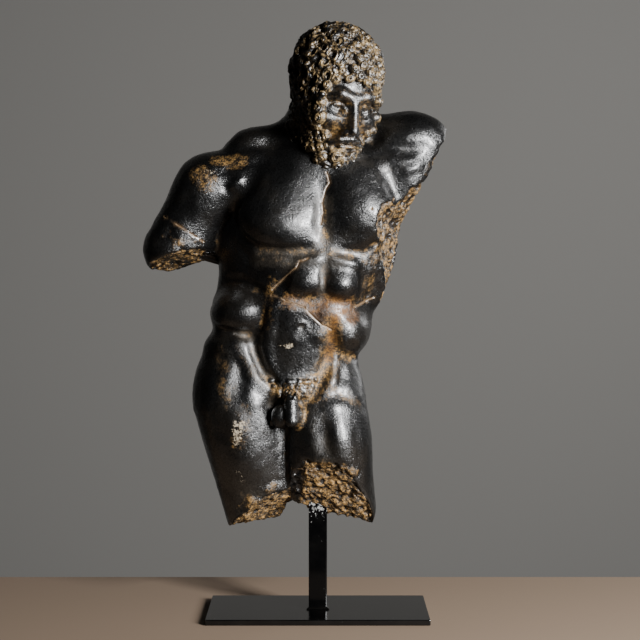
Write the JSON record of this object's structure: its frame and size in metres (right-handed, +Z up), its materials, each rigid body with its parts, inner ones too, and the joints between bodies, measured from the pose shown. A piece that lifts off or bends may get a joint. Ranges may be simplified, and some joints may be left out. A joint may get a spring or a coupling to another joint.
{
  "type": "hercules statue",
  "caption": "Broken classical figure of a bearded strongman, without lower arms and legs, cast with a black patina and held by a square post on a flat plate.",
  "frame": {"origin": "middle of the plate's underside", "axes": "+Z up, the figure's chest faces -Y, +X is the figure's left side"},
  "size_m": [0.4217, 0.1881, 0.8179],
  "materials": {
    "patinated_casting": "near-black satin patina on cast resin, with ochre in the hollows and on the breaks",
    "black_steel": "black satin paint on steel"
  },
  "bodies": {
    "root": {"statue": "patinated_casting", "post": "black_steel", "base_plate": "black_steel"}
  },
  "joints": []
}
